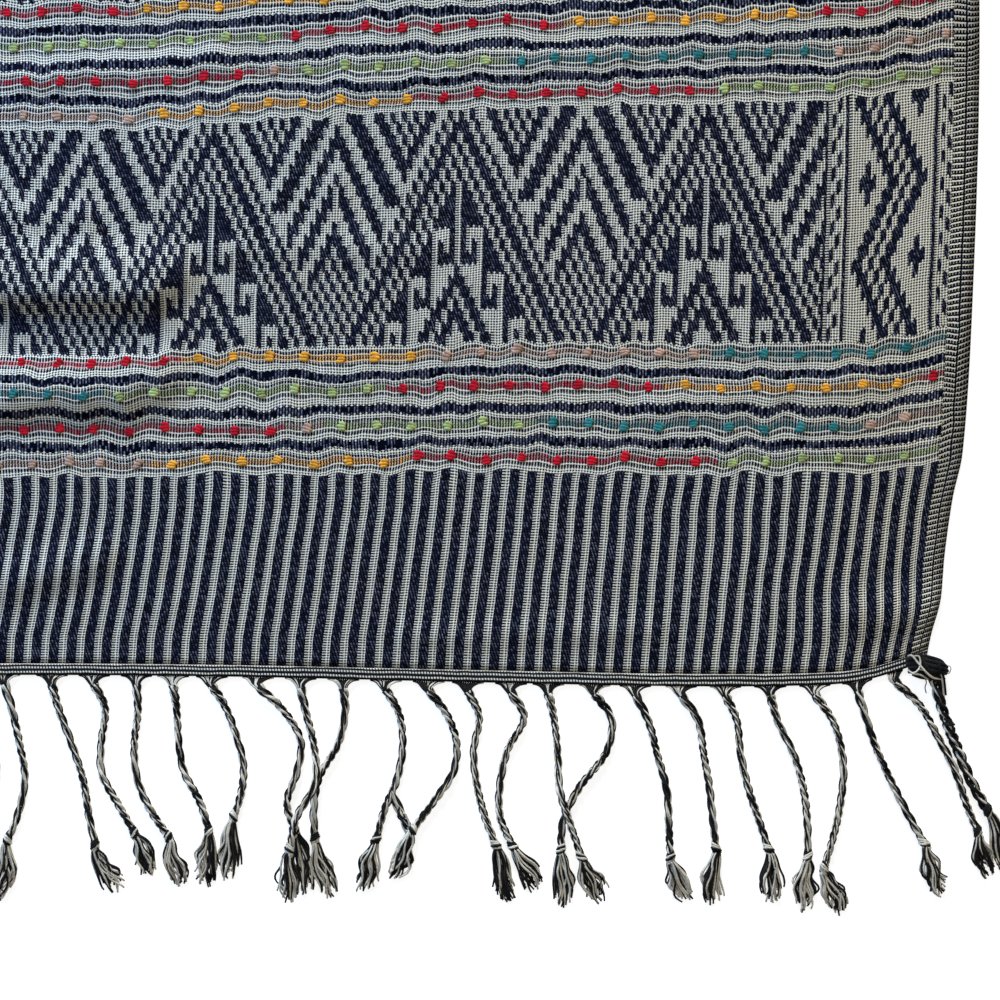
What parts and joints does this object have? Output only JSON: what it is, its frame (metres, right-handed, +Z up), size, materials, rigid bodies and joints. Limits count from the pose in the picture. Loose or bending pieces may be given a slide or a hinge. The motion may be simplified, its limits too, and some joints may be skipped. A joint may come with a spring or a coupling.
{
  "type": "shawl",
  "caption": "Handwoven double-cloth shawl lying flat, with low soft folds and knotted, plied fringe cords along both ends.",
  "frame": {"origin": "on the surface the shawl lies on, under the middle of its outline", "axes": "+X across the cloth towards its drawn-up corner's side, +Y along the cloth away from that corner, +Z up"},
  "size_m": [0.733, 2.1307, 0.0134],
  "materials": {
    "woven_cloth": "double-weave cloth of navy and off-white yarn, matt, with coloured weft dots",
    "fringe_yarn": "matt black and off-white yarn, woven as a hem strip and plied into knotted cords"
  },
  "bodies": {
    "root": {"cloth": "woven_cloth", "fringe_near": "fringe_yarn", "fringe_far": "fringe_yarn"}
  },
  "joints": []
}
